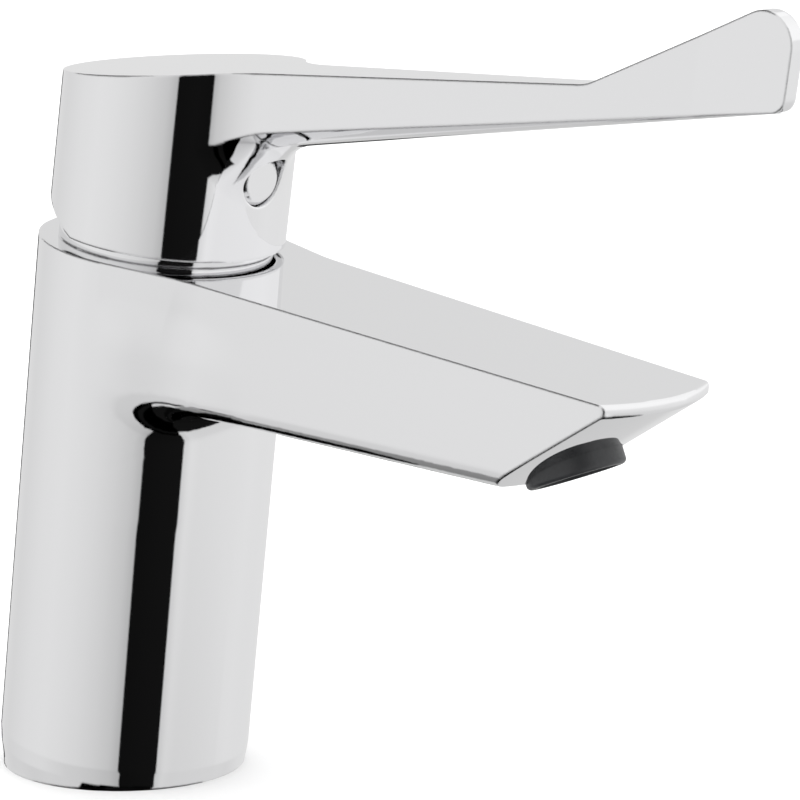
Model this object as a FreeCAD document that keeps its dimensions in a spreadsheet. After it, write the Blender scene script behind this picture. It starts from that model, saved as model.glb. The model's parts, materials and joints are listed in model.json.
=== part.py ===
import FreeCAD, Part
import math
import os

import Sketcher
from FreeCAD import Placement, Rotation, Vector

# Single lever basin mixer tap with a long elbow lever and a forward leaning body.
# Millimetres. The origin is the centre of the foot on the basin, +X runs under the spout, +Z is up.
# Body and cartridge pieces are drawn along the leaning body axis, with height 0 at the flat top of the body.

doc = FreeCAD.newDocument("basin_mixer_tap")
sheet = doc.addObject("Spreadsheet::Sheet", "Sizes")

DRIVING_SIZES = {
    # body and spout
    "body_lean": 7.25,
    "body_length": 103.8,
    "body_radius": 24.0,
    "foot_taper": 1.2,
    "foot_height": 6.0,
    "spout_reach": 121.0,
    "spout_root_width": 39.9,
    "spout_tip_width": 30.0,
    "spout_tip_bulge": 3.4,
    "spout_lip": 2.0,
    "spout_root_depth": 27.9,
    "spout_nose_depth": 20.6,
    "nose_angle": 38.8,
    "spout_edge_radius": 4.0,
    "root_flare_side": 15.0,
    "root_flare_front": 1.0,
    "spout_corner_radius": 1.0,
    "shoulder_slope": 0.24,
    "shoulder_blend_radius": 25.0,
    "root_draw_in": 4.0,
    "root_hug_depth": 39.0,
    # hollows and threads of the body
    "base_cavity_radius": 18.5,
    "base_cavity_height": 48.0,
    "inlet_thread_radius": 4.5,
    "inlet_thread_depth": 12.0,
    "stud_thread_radius": 3.4,
    "stud_thread_depth": 14.0,
    "stud_place": -5.0,
    "inlet_place": 9.5,
    "spout_channel_radius": 4.5,
    "seal_groove_depth": 2.0,
    "seal_inner_radius": 19.8,
    "seal_width": 2.0,
    # cartridge
    "cartridge_depth": 31.0,
    "cartridge_radius": 17.4,
    "port_place": 4.0,
    "port_spread": 15.0,
    "port_radius": 2.6,
    "outlet_place": 6.0,
    "base_flange": 2.4,
    "base_height": 6.0,
    "housing_overlap": 1.4,
    "housing_groove_depth": 1.2,
    "housing_groove_margin": 0.8,
    "port_seal_width": 1.4,
    "port_seal_height": 1.2,
    "barrel_radius": 15.9,
    "barrel_bore_radius": 15.2,
    "housing_neck_radius": 14.5,
    "housing_top": 5.5,
    "shoulder_depth": 9.2,
    "shoulder_thickness": 3.0,
    "rotor_radius": 12.1,
    "rotor_top": 8.0,
    "rotor_flange_depth": 11.4,
    "rotor_flange_thickness": 3.8,
    "rotor_hub_radius": 10.5,
    "rotor_hub_height": 2.4,
    "slot_reach": 8.4,
    "carrier_thickness": 2.9,
    "tongue_width": 10.0,
    "tongue_height": 3.6,
    "ceramic_thickness": 3.1,
    "chamber_wall": 4.8,
    "chamber_offset": 0.5,
    "fixed_disc_thickness": 3.5,
    "fixed_disc_radius": 14.9,
    "moving_disc_radius": 11.6,
    "ball_arm": 15.0,
    "ball_radius": 2.5,
    "ball_arm_radius": 1.8,
    "pivot_pin_radius": 1.5,
    "stem_width": 8.0,
    "stem_top": 27.0,
    "nut_thread_radius": 19.0,
    "nut_flats": 32.0,
    "nut_hex_height": 4.5,
    "nut_collar_radius": 15.8,
    "limit_ring_width": 2.3,
    "limit_ring_height": 1.75,
    "shroud_radius": 20.3,
    "shroud_wall": 1.0,
    "shroud_height": 9.0,
    "shroud_opening": 13.2,
    # aerator
    "aerator_radius": 9.12,
    "aerator_tilt": 29.25,
    "aerator_place": 102.44,
    "aerator_depth": 19.0,
    "aerator_collar": 6.4,
    "aerator_length": 12.4,
    "aerator_bore_radius": 7.3,
    "aerator_edge_radius": 0.9,
    "aerator_core_height": 7.8,
    "mesh_depth": 1.8,
    "mesh_thickness": 0.4,
    "mesh_pitch": 1.45,
    "mesh_wire": 0.4,
    "mesh_rim": 0.25,
    "jet_radius": 0.8,
    "regulator_hole_radius": 1.2,
    "aerator_thread_step": 0.5,
    "aerator_washer_lip": 1.5,
    "socket_depth": 13.9,
    # handle
    "handle_radius": 22.4,
    "handle_wall": 1.5,
    "handle_rest_tilt": 1.6,
    "handle_lift": 25.0,
    "handle_foot": 2.2,
    "handle_height": 34.2,
    "handle_top_rise": 11.26,
    "handle_roof": 3.0,
    "relief_gap": 0.5,
    "plug_height": 17.3,
    "plug_hole_radius": 5.0,
    "plug_inset": 0.1,
    "plug_length": 4.4,
    "plug_edge": 1.0,
    "grub_radius": 2.5,
    "grub_length": 6.0,
    "grub_key_share": 0.55,
    "boss_radius": 8.2,
    "boss_foot": 14.2,
    "lever_root_width": 22.18,
    "lever_taper": 0.161,
    "lever_root_depth": 13.0,
    "lever_under_rise": 15.0,
    "lever_keel_share": 0.4,
    "lever_root_radius": 15.0,
    "blade_thickness": 3.3,
    "blade_slope": 32.2,
    "blade_start": 95.9,
    "blade_reach": 136.0,
    "blade_tip_radius": 5.8,
    "blade_foot_radius": 3.0,
    "blade_blend_radius": 8.0,
    # fits
    "running_fit": 0.05,
    "free_fit": 0.3,
    "seat_gap": 0.1,
    "disc_gap": 0.05,
    "slot_roof_gap": 0.4,
}

for row, (name, value) in enumerate(DRIVING_SIZES.items(), start=1):
    sheet.set("A%d" % row, name)
    sheet.set("B%d" % row, str(value))
    sheet.setAlias("B%d" % row, name)
doc.recompute()


def size(expression):
    """The value of an expression of sheet names, such as body_radius - running_fit."""
    return float(sheet.evalExpression(bound(expression)))


def bound(expression):
    """The expression with every sheet name written as a reference to the sheet."""
    words = []
    word = ""
    for character in str(expression) + " ":
        if character.isalnum() or character == "_":
            word += character
            continue
        words.append("Sizes." + word if word in DRIVING_SIZES else word)
        words.append(character)
        word = ""
    return "".join(words).strip()


LEAN = Rotation(Vector(0, 1, 0), size("body_lean"))
PIVOT = LEAN.multVec(Vector(0, 0, size("body_length")))
AXIS_FRAME = Placement(PIVOT, LEAN)
HANDLE_TILT = Rotation(Vector(0, 1, 0), size("body_lean + handle_rest_tilt"))
HANDLE_FRAME = Placement(PIVOT, HANDLE_TILT)
WORLD_FRAME = Placement()
AERATOR_SEAT = Vector(size("aerator_place"), 0, -size("aerator_depth"))
AERATOR_TURN = Rotation(Vector(0, 1, 0), 180 - size("aerator_tilt"))
AERATOR_FRAME = AXIS_FRAME.multiply(Placement(AERATOR_SEAT, AERATOR_TURN))


ACROSS = Rotation(Vector(1, 0, 0), 90)
FORWARD = Rotation(Vector(0, 1, 0), 90)


def new_body(name, place):
    body = doc.addObject("PartDesign::Body", name)
    body.Label = name
    doc.recompute()
    body.Placement = place
    return body


def origin_plane(body, role):
    return next(f for f in body.Origin.OriginFeatures if f.Role == role)


def new_sketch(body, name, role):
    sketch = body.newObject("Sketcher::SketchObject", name)
    sketch.AttachmentSupport = [(origin_plane(body, role), "")]
    sketch.MapMode = "FlatFace"
    return sketch


def outline(sketch, corners):
    """Closed straight sided outline. Each corner is a pair of expressions that hold it in place."""
    spots = [Vector(size(across), size(up), 0) for across, up in corners]
    first = sketch.GeometryCount
    count = len(spots)
    for i, spot in enumerate(spots):
        sketch.addGeometry(Part.LineSegment(spot, spots[(i + 1) % count]))
    for i in range(count):
        joint = Sketcher.Constraint("Coincident", first + i, 2, first + (i + 1) % count, 1)
        sketch.addConstraint(joint)
    for i, corner in enumerate(corners):
        for kind, expression in zip(("DistanceX", "DistanceY"), corner):
            hold = Sketcher.Constraint(kind, -1, 1, first + i, 1, size(expression))
            number = sketch.addConstraint(hold)
            sketch.setExpression("Constraints[%d]" % number, bound(expression))


def turned(name, corners, place=AXIS_FRAME):
    """A piece turned about its own Z axis from pairs of radius and height."""
    body = new_body(name, place)
    sketch = new_sketch(body, name + "_profile", "XZ_Plane")
    outline(sketch, corners)
    turning = body.newObject("PartDesign::Revolution", name + "_turned")
    turning.Profile = sketch
    turning.ReferenceAxis = (sketch, ["V_Axis"])
    turning.Angle = 360
    doc.recompute()
    return body


def washer(name, inner, outer, low, high, place=AXIS_FRAME):
    return turned(name, [(inner, low), (outer, low), (outer, high), (inner, high)], place)


def pad(body, sketch, length):
    """A pad to both sides of its sketch, of this whole length."""
    feature = body.newObject("PartDesign::Pad", sketch.Name + "_pad")
    feature.Profile = sketch
    feature.Midplane = True
    feature.setExpression("Length", bound(length))
    doc.recompute()
    return feature


def rod(name, radius, length, place):
    piece = doc.addObject("Part::Cylinder", name)
    piece.setExpression("Radius", bound(radius))
    piece.setExpression("Height", bound(length))
    piece.Placement = place
    return piece


def channel(name, radius, start, end):
    """A straight round bore between two points."""
    run = end - start
    return rod(name, radius, run.Length, Placement(start, Rotation(Vector(0, 0, 1), run)))


def block(name, length, width, height, place):
    piece = doc.addObject("Part::Box", name)
    piece.setExpression("Length", bound(length))
    piece.setExpression("Width", bound(width))
    piece.setExpression("Height", bound(height))
    piece.Placement = place
    return piece


def at(x, y, z, frame=WORLD_FRAME, turn=Rotation()):
    """A place given by three expressions in a frame."""
    return frame.multiply(Placement(Vector(size(x), size(y), size(z)), turn))


def fuse(name, pieces):
    joined = doc.addObject("Part::MultiFuse", name)
    joined.Shapes = pieces
    joined.Refine = True
    doc.recompute()
    return joined


def cut(name, base, tools):
    """The base without the tools, which are joined first where there are several."""
    result = doc.addObject("Part::Cut", name)
    result.Base = base
    result.Tool = tools[0] if len(tools) == 1 else fuse(name + "_tools", tools)
    result.Refine = True
    doc.recompute()
    return result


def common(name, base, tool):
    result = doc.addObject("Part::Common", name)
    result.Base = base
    result.Tool = tool
    doc.recompute()
    return result


def rounded(name, base, radius, wanted, far_radius=None):
    """The base with the edges that the test picks rounded. The far radius is for the end farther from Y 0."""
    feature = doc.addObject("Part::Fillet", name)
    feature.Base = base
    near = size(radius)
    far = size(far_radius or radius)
    edges = []
    for i, edge in enumerate(base.Shape.Edges, start=1):
        if wanted(edge):
            start, end = (edge.valueAt(value) for value in edge.ParameterRange)
            edges.append((i, near, far) if abs(start.y) < abs(end.y) else (i, far, near))
    feature.Edges = edges
    doc.recompute()
    return feature


def in_frame(edge, frame):
    """Points along an edge, seen in a frame."""
    first, last = edge.ParameterRange
    steps = [first + (last - first) * k / 4 for k in range(5)]
    return [frame.inverse().multVec(edge.valueAt(step)) for step in steps]


# Body casting
def body_shell():
    """Leaning round body with a tapering foot that is cut level where it stands."""
    return turned("body_column", [
        ("0", "-body_length - foot_height"),
        ("body_radius - foot_taper", "-body_length - foot_height"),
        ("body_radius - foot_taper", "-body_length - foot_height / 2"),
        ("body_radius - foot_taper * 0.75", "-body_length"),
        ("body_radius - foot_taper * 0.25", "-body_length + foot_height / 2"),
        ("body_radius", "-body_length + foot_height"),
        ("body_radius", "0"),
        ("0", "0"),
    ])


# Where the straight shoulder leaves the round body, and where it meets the spout's side
SHOULDER = "(body_radius * cos(atan(shoulder_slope)))"
SHOULDER_RUN = "(body_radius * sin(atan(shoulder_slope)))"
TAPER = "((spout_root_width - spout_tip_width) / 2 / spout_reach)"
MEET = "((%s + shoulder_slope * %s - spout_root_width / 2) / (shoulder_slope - %s))" % (
    SHOULDER, SHOULDER_RUN, TAPER)


def spout_side():
    """Block across the body with the spout's outline as seen from the side."""
    nose_run = "(spout_nose_depth - spout_lip) / tan(nose_angle * 1deg)"
    side = new_body("spout_side", AXIS_FRAME)
    sketch = new_sketch(side, "spout_side_outline", "XZ_Plane")
    outline(sketch, [
        ("0", "0"),
        ("spout_reach", "0"),
        ("spout_reach", "-spout_lip"),
        ("spout_reach - " + nose_run, "-spout_nose_depth"),
        ("0", "-spout_root_depth"),
    ])
    pad(side, sketch, "3 * body_radius")
    return side


def plan_section(half, depth):
    """Closed outline at a depth from its half at +Y: runs of two points for a line, three for an arc."""
    runs = half + [[half[-1][-1], (half[-1][-1][0], -half[-1][-1][1])]]
    runs += [[(x, -y) for x, y in run[::-1]] for run in half[::-1]]
    runs.append([(half[0][0][0], -half[0][0][1]), half[0][0]])
    edges = []
    for run in runs:
        spots = [Vector(x, y, -depth) for x, y in run]
        edges.append(Part.makeLine(*spots) if len(spots) == 2 else Part.Arc(*spots).toShape())
    return Part.Wire(edges)


def spout_plan():
    """Block with the spout's outline from above. Down to the underside it draws in until it hugs the body."""
    radius = size("body_radius")
    bend = size("shoulder_blend_radius")
    lean = math.atan(size("shoulder_slope"))
    taper = math.atan(size(TAPER))
    back = (0, size(SHOULDER))
    leave = (size(SHOULDER_RUN), size(SHOULDER))
    tip = (size("spout_reach + 1"), size("spout_root_width / 2 - %s * (spout_reach + 1)" % TAPER))
    meet = (size(MEET), size("spout_root_width / 2 - %s * %s" % (TAPER, MEET)))

    # top: straight shoulder, bend, straight side
    run = bend * math.tan((lean - taper) / 2)
    first = (meet[0] - run * math.cos(lean), meet[1] + run * math.sin(lean))
    last = (meet[0] + run * math.cos(taper), meet[1] - run * math.sin(taper))
    centre = (first[0] + bend * math.sin(lean), first[1] + bend * math.cos(lean))
    half_way = (lean + taper) / 2
    middle = (centre[0] - bend * math.sin(half_way), centre[1] - bend * math.cos(half_way))
    top = [[back, leave], [leave, first], [first, middle, last], [last, tip]]

    # underside: round the body, bend, straight side
    root = (meet[0], meet[1] - size("root_draw_in"))
    slant = math.atan((root[1] - tip[1]) / (tip[0] - root[0]))
    raised = (root[0] + bend * math.sin(slant), root[1] + bend * math.cos(slant))
    along = raised[0] * math.cos(slant) - raised[1] * math.sin(slant)
    beyond = raised[0] ** 2 + raised[1] ** 2 - (radius + bend) ** 2
    shift = -along + math.sqrt(along ** 2 - beyond)
    centre = (raised[0] + shift * math.cos(slant), raised[1] - shift * math.sin(slant))
    turn = math.atan2(centre[0], centre[1])
    first = (radius * math.sin(turn), radius * math.cos(turn))
    last = (centre[0] - bend * math.sin(slant), centre[1] - bend * math.cos(slant))
    half_way = (turn + slant) / 2
    middle = (centre[0] - bend * math.sin(half_way), centre[1] - bend * math.cos(half_way))
    half_turn = (lean + turn) / 2
    hug = (radius * math.sin(half_turn), radius * math.cos(half_turn))
    low = [[back, leave], [leave, hug, first], [first, middle, last], [last, tip]]

    sections = [plan_section(top, -radius), plan_section(top, 0), plan_section(low, size("root_hug_depth"))]
    plan = doc.addObject("Part::Feature", "spout_plan")
    plan.Shape = Part.makeLoft(sections, True, True)
    plan.Placement = AXIS_FRAME
    return plan


def root_flare():
    """Column and spout, the underside flared into the column: wide at the sides and tight in front."""
    quarter = doc.addObject("Part::Cylinder", "root_quarter")
    quarter.setExpression("Radius", bound("body_radius"))
    quarter.setExpression("Height", bound("3 * body_radius"))
    quarter.Angle = 90
    quarter.Placement = at("0", "0", "-3 * body_radius", AXIS_FRAME)
    half = block("root_half", "2 * spout_reach", "4 * body_radius", "6 * body_radius",
                 at("0", "0", "-3 * body_radius", AXIS_FRAME))
    corner = fuse("root_corner", [quarter, common("root_side", spout_side(), half)])
    radius = size("body_radius")
    top = -size("spout_nose_depth")
    flared = rounded("root_flared", corner, "root_flare_front", lambda edge: all(
        abs(math.hypot(p.x, p.y) - radius) < 0.01 and top - radius < p.z < top
        for p in in_frame(edge, AXIS_FRAME)) and edge.Length > radius, "root_flare_side")
    mirrored = doc.addObject("Part::Mirroring", "root_mirrored")
    mirrored.Source = flared
    mirrored.Normal = Vector(0, 1, 0)
    doc.recompute()
    return fuse("root_flare", [flared, mirrored])


def nose_trim():
    """Shape that the nose is kept inside: an arc in plan, carried down along the sloping nose."""
    half = size("spout_tip_width / 2")
    slope = math.radians(size("nose_angle"))
    bulge = size("spout_tip_bulge")
    reach = size("spout_reach")
    depth = size("spout_reach + 4 * body_radius")
    lip_radius = (half ** 2 + bulge ** 2) / (2 * bulge)
    lip_centre = Vector(reach - lip_radius, 0, -depth / 2)
    lip_round = Part.makeCylinder(lip_radius, depth, lip_centre)
    lip_back = Part.makeBox(reach, depth, depth, lip_centre - Vector(reach, depth / 2, 0))
    flat_bulge = bulge * math.sin(slope)
    nose_radius = (half ** 2 + flat_bulge ** 2) / (2 * flat_bulge)
    up_slope = Vector(math.cos(slope), 0, math.sin(slope))
    inward = Vector(-math.sin(slope), 0, math.cos(slope))
    start = Vector(reach, 0, -size("spout_lip")) + inward * nose_radius - up_slope * depth
    nose_round = Part.makeCylinder(nose_radius, 2 * depth, start, up_slope)
    nose_back = Part.makeBox(2 * depth, depth, depth)
    nose_turn = Rotation(up_slope, Vector(0, 1, 0), inward, "XYZ")
    nose_back.Placement = Placement(start - Vector(0, depth / 2, 0), nose_turn)
    trim = doc.addObject("Part::Feature", "nose_trim")
    trim.Shape = lip_round.fuse(lip_back).common(nose_round.fuse(nose_back))
    trim.Placement = AXIS_FRAME
    return trim


def body_casting():
    spout = common("spout", common("spout_block", root_flare(), spout_plan()), nose_trim())
    outer = fuse("body_outer", [body_shell(), spout])
    ground = block("ground_cut", "4 * body_radius", "4 * body_radius", "2 * body_radius",
                   at("-2 * body_radius", "-2 * body_radius", "-2 * body_radius"))
    levelled = cut("body_levelled", outer, [ground])
    low_edge = 1 - size("spout_nose_depth")
    softened = rounded("body_softened", levelled, "spout_edge_radius", lambda edge: all(
        p.z < low_edge for p in in_frame(edge, AXIS_FRAME)) and edge.BoundBox.XLength > size("body_radius"))
    nose_start = size("spout_reach - spout_tip_bulge - 5")
    eased = rounded("body_eased", softened, "spout_corner_radius", lambda edge: all(
        p.x > nose_start and p.z > -size("spout_lip") - 1 for p in in_frame(edge, AXIS_FRAME)))
    return cut("body_casting", eased, body_hollows())


def body_hollows():
    """Base cavity, threads, waterways, seats for the cartridge, foot seal and aerator."""
    column = rod("base_cavity_column", "base_cavity_radius", "body_length",
                 at("0", "0", "-body_length - 5", AXIS_FRAME))
    slab = block("base_cavity_slab", "4 * body_radius", "4 * body_radius", "base_cavity_height + 10",
                 at("-2 * body_radius", "-2 * body_radius", "-10"))
    tools = [common("base_cavity", column, slab)]
    for side, sign in (("hot", "-"), ("cold", "+")):
        across = sign + "port_spread / 2"
        tools.append(rod(side + "_thread", "inlet_thread_radius", "inlet_thread_depth + 1",
                         at("inlet_place", across, "base_cavity_height - 1")))
        low = at("inlet_place", across, "base_cavity_height + inlet_thread_depth - port_radius").Base
        high = at("port_place", across, "1 - cartridge_depth", AXIS_FRAME).Base
        tools.append(channel(side + "_waterway", "port_radius", low, high))
    tools.append(rod("stud_thread", "stud_thread_radius", "stud_thread_depth + 1",
                     at("stud_place", "0", "base_cavity_height - 1")))
    tools.append(rod("cartridge_cavity", "cartridge_radius + seat_gap", "cartridge_depth + 1",
                     at("0", "0", "-cartridge_depth", AXIS_FRAME)))
    tools.append(rod("nut_cavity", "nut_thread_radius", "shoulder_depth + 1",
                     at("0", "0", "-shoulder_depth", AXIS_FRAME)))
    tools.append(washer("foot_seal_groove", "seal_inner_radius", "seal_inner_radius + seal_width",
                        "-1", "seal_groove_depth", WORLD_FRAME))
    tools.append(turned("aerator_socket", [
        ("0", "-socket_depth"),
        ("aerator_radius - aerator_thread_step", "-socket_depth"),
        ("aerator_radius - aerator_thread_step", "-aerator_collar"),
        ("aerator_radius + seat_gap", "-aerator_collar"),
        ("aerator_radius + seat_gap", "aerator_collar"),
        ("0", "aerator_collar"),
    ], AERATOR_FRAME))
    shoulder = "-shoulder_depth - shoulder_thickness - spout_channel_radius"
    channel_start = at("barrel_radius", "0", shoulder, AXIS_FRAME).Base
    channel_end = at("0", "0", "1 - socket_depth", AERATOR_FRAME).Base
    tools.append(channel("spout_channel", "spout_channel_radius", channel_start, channel_end))
    return tools


def foot_seal():
    return washer("foot_seal", "seal_inner_radius + seat_gap / 2",
                  "seal_inner_radius + seal_width - seat_gap / 2", "0", "seal_groove_depth", WORLD_FRAME)


# Cartridge clamp and shroud
def cartridge_nut():
    ring = turned("nut_ring", [
        ("housing_neck_radius + free_fit", "-shoulder_depth"),
        ("nut_thread_radius - seat_gap", "-shoulder_depth"),
        ("nut_thread_radius - seat_gap", "-seat_gap"),
        ("nut_collar_radius", "-seat_gap"),
        ("nut_collar_radius", "shroud_height - shroud_wall"),
        ("housing_neck_radius + free_fit", "shroud_height - shroud_wall"),
    ])
    hexagon = doc.addObject("Part::Prism", "nut_hexagon")
    hexagon.Polygon = 6
    hexagon.setExpression("Circumradius", bound("nut_flats / 2 / cos(30deg)"))
    hexagon.setExpression("Height", bound("nut_hex_height"))
    hexagon.Placement = at("0", "0", "-seat_gap", AXIS_FRAME)
    bore = rod("nut_bore", "housing_neck_radius + free_fit", "body_radius",
               at("0", "0", "-shoulder_depth", AXIS_FRAME))
    return cut("cartridge_nut", fuse("nut_blank", [ring, hexagon]), [bore])


def neck_shroud():
    """Thin dome over the nut. Its centre is the lever's pivot, so the handle clears it at every lift."""
    skins = []
    layers = (
        ("outer", "shroud_radius", "0", "shroud_height"),
        ("inner", "shroud_radius - shroud_wall", "-1", "shroud_height - shroud_wall"),
    )
    for side, radius, low, high in layers:
        ball = doc.addObject("Part::Sphere", "shroud_%s_ball" % side)
        ball.setExpression("Radius", bound(radius))
        ball.Placement = AXIS_FRAME
        band = rod("shroud_%s_band" % side, "2 * shroud_radius", "%s - (%s)" % (high, low),
                   at("0", "0", low, AXIS_FRAME))
        skins.append(common("shroud_" + side, ball, band))
    opening = rod("shroud_opening", "shroud_opening", "2 * shroud_height", AXIS_FRAME)
    return cut("neck_shroud", skins[0], [skins[1], opening])


# Cartridge
HOUSING_FOOT = "base_height - housing_overlap - cartridge_depth"
GROOVE_LOW = "-shoulder_depth - shoulder_thickness + housing_groove_margin"
GROOVE_TOP = "-shoulder_depth - housing_groove_margin"


def cartridge_housing():
    housing = turned("housing_shell", [
        ("barrel_bore_radius", HOUSING_FOOT),
        ("barrel_radius", HOUSING_FOOT),
        ("barrel_radius", "-shoulder_depth - shoulder_thickness"),
        ("cartridge_radius", "-shoulder_depth - shoulder_thickness"),
        ("cartridge_radius", GROOVE_LOW),
        ("cartridge_radius - housing_groove_depth", GROOVE_LOW),
        ("cartridge_radius - housing_groove_depth", GROOVE_TOP),
        ("cartridge_radius", GROOVE_TOP),
        ("cartridge_radius", "-shoulder_depth"),
        ("housing_neck_radius", "-shoulder_depth"),
        ("housing_neck_radius", "housing_top"),
        ("rotor_radius + running_fit", "housing_top"),
        ("rotor_radius + running_fit", "-rotor_flange_depth + seat_gap"),
        ("barrel_bore_radius", "-rotor_flange_depth + seat_gap"),
    ])
    housing.Label = "cartridge_housing"
    return housing


def housing_seal():
    return washer("housing_seal", "cartridge_radius - housing_groove_depth + seat_gap / 2",
                  "cartridge_radius + seat_gap / 2", GROOVE_LOW + " + seat_gap", GROOVE_TOP + " - seat_gap")


PORTS = (("hot", "port_place", "-port_spread / 2"), ("cold", "port_place", "port_spread / 2"),
         ("outlet", "-outlet_place", "0"))


def cartridge_base():
    blank = turned("base_blank", [
        ("0", "-cartridge_depth"),
        ("cartridge_radius", "-cartridge_depth"),
        ("cartridge_radius", "-cartridge_depth + base_flange"),
        ("barrel_bore_radius - seat_gap", "-cartridge_depth + base_flange"),
        ("barrel_bore_radius - seat_gap", "-cartridge_depth + base_height"),
        ("0", "-cartridge_depth + base_height"),
    ])
    tools = []
    for side, along, across in PORTS:
        inlet = side != "outlet"
        foot = "-cartridge_depth - 1" if inlet else "-cartridge_depth + base_flange"
        tools.append(rod("base_port_" + side, "port_radius", "base_height + 2",
                         at(along, across, foot, AXIS_FRAME)))
        tools.append(rod("base_recess_" + side, "port_radius + port_seal_width", "port_seal_height + 1",
                         at(along, across, "base_height - cartridge_depth - port_seal_height", AXIS_FRAME)))
        if inlet:
            tools.append(rod("seat_recess_" + side, "port_radius + port_seal_width", "port_seal_height + 1",
                             at(along, across, "-cartridge_depth - 1", AXIS_FRAME)))
    tools.append(block("base_outlet_slot", "cartridge_radius", "2 * port_radius",
                       "base_height - base_flange - housing_overlap",
                       at("-outlet_place - cartridge_radius", "-port_radius",
                          "-cartridge_depth + base_flange", AXIS_FRAME)))
    return cut("cartridge_base", blank, tools)


def port_rings(name, sides, low):
    """Rubber rings, one round each port."""
    outer = "port_radius + port_seal_width - seat_gap / 2"
    rings = []
    for side, along, across in PORTS:
        if side in sides:
            rings.append(washer(name + "_" + side, "port_radius", outer, "0", "port_seal_height",
                                at(along, across, low, AXIS_FRAME)))
    group = doc.addObject("Part::Compound", name)
    group.Links = rings
    doc.recompute()
    return group


FIXED_LOW = "base_height - cartridge_depth"
FIXED_TOP = "base_height - cartridge_depth + fixed_disc_thickness"
CARRIER_LOW = FIXED_TOP + " + disc_gap + ceramic_thickness"
TONGUE_LOW = CARRIER_LOW + " + carrier_thickness"
DISC_START = "-ball_arm * sin(handle_lift / 2 * 1deg)"


def fixed_disc():
    blank = rod("fixed_disc_blank", "fixed_disc_radius", "fixed_disc_thickness",
                at("0", "0", FIXED_LOW, AXIS_FRAME))
    ports = [rod("disc_port_" + side, "port_radius", "fixed_disc_thickness + 2",
                 at(along, across, FIXED_LOW + " - 1", AXIS_FRAME)) for side, along, across in PORTS]
    return cut("fixed_disc", blank, ports)


def moving_disc():
    blank = rod("moving_disc_blank", "moving_disc_radius", "ceramic_thickness",
                at(DISC_START, "0", FIXED_TOP + " + disc_gap", AXIS_FRAME))
    chamber = rod("mixing_chamber", "moving_disc_radius - chamber_wall", "ceramic_thickness / 2 + 1",
                  at(DISC_START + " - chamber_offset", "0", FIXED_TOP + " + disc_gap - 1", AXIS_FRAME))
    return cut("moving_disc", blank, [chamber])


def disc_carrier():
    plate = rod("carrier_plate", "moving_disc_radius", "carrier_thickness",
                at(DISC_START, "0", CARRIER_LOW, AXIS_FRAME))
    tongue = block("carrier_tongue", "tongue_width", "tongue_width", "tongue_height",
                   at(DISC_START + " - tongue_width / 2", "-tongue_width / 2", TONGUE_LOW, AXIS_FRAME))
    socket = rod("carrier_socket", "ball_radius + free_fit", "ball_arm",
                 at(DISC_START, "0", "-ball_arm - ball_radius - slot_roof_gap", AXIS_FRAME))
    return cut("disc_carrier", fuse("carrier_blank", [plate, tongue]), [socket])


def cartridge_rotor():
    blank = turned("rotor_blank", [
        ("0", "-rotor_flange_depth - rotor_flange_thickness"),
        ("barrel_bore_radius - free_fit", "-rotor_flange_depth - rotor_flange_thickness"),
        ("barrel_bore_radius - free_fit", "-rotor_flange_depth"),
        ("rotor_radius", "-rotor_flange_depth"),
        ("rotor_radius", "rotor_top - rotor_hub_height"),
        ("rotor_hub_radius", "rotor_top - rotor_hub_height"),
        ("rotor_hub_radius", "rotor_top"),
        ("0", "rotor_top"),
    ])
    stem_slot = block("stem_slot", "2 * slot_reach", "stem_width + 4 * seat_gap", "2 * body_radius",
                      at("-slot_reach", "-stem_width / 2 - 2 * seat_gap", "-body_radius", AXIS_FRAME))
    guide_foot = TONGUE_LOW + " + tongue_height + slot_roof_gap - body_radius"
    guide = block("tongue_slot", "2 * slot_reach + 2 * seat_gap", "tongue_width + 2 * seat_gap",
                  "body_radius",
                  at("-slot_reach - seat_gap", "-tongue_width / 2 - seat_gap", guide_foot, AXIS_FRAME))
    pin_hole = rod("rotor_pin_hole", "pivot_pin_radius + seat_gap", "4 * body_radius",
                   at("0", "2 * body_radius", "0", AXIS_FRAME, ACROSS))
    return cut("cartridge_rotor", blank, [stem_slot, guide, pin_hole])


def pivot_pin():
    return rod("pivot_pin", "pivot_pin_radius", "2 * rotor_radius - 2 * seat_gap",
               at("0", "rotor_radius - seat_gap", "0", AXIS_FRAME, ACROSS))


def limit_ring():
    inner = "rotor_hub_radius + seat_gap"
    low = "rotor_top - rotor_hub_height + seat_gap / 2"
    return washer("limit_ring", inner, inner + " + limit_ring_width", low, low + " + limit_ring_height")


def lever_stem():
    """Square stem on an eye for the pivot pin, with a ball below that drives the disc carrier."""
    square = block("stem_square", "stem_width", "stem_width", "stem_top",
                   at("-stem_width / 2", "-stem_width / 2", "0", HANDLE_FRAME))
    eye = rod("stem_eye", "stem_width / 2", "stem_width",
              at("0", "stem_width / 2", "0", AXIS_FRAME, ACROSS))
    down = Rotation(Vector(0, 1, 0), 180 + size("handle_lift / 2"))
    arm = rod("stem_arm", "ball_arm_radius", "ball_arm", AXIS_FRAME.multiply(Placement(Vector(), down)))
    ball = doc.addObject("Part::Sphere", "stem_ball")
    ball.setExpression("Radius", bound("ball_radius"))
    ball_place = down.multVec(Vector(0, 0, size("ball_arm")))
    ball.Placement = AXIS_FRAME.multiply(Placement(ball_place, Rotation()))
    hole = rod("stem_pin_hole", "pivot_pin_radius + running_fit", "4 * stem_width",
               at("0", "2 * stem_width", "0", AXIS_FRAME, ACROSS))
    return cut("lever_stem", fuse("stem_blank", [square, eye, arm, ball]), [hole])


# Handle
LEVER_END = "(lever_root_width - blade_thickness) / lever_taper"
LEVER_LOW = "handle_height - lever_root_depth + (%s) * tan(lever_under_rise * 1deg)"
LEVER_TOP = "handle_height + (%s) * tan(handle_top_rise * 1deg)"


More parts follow.
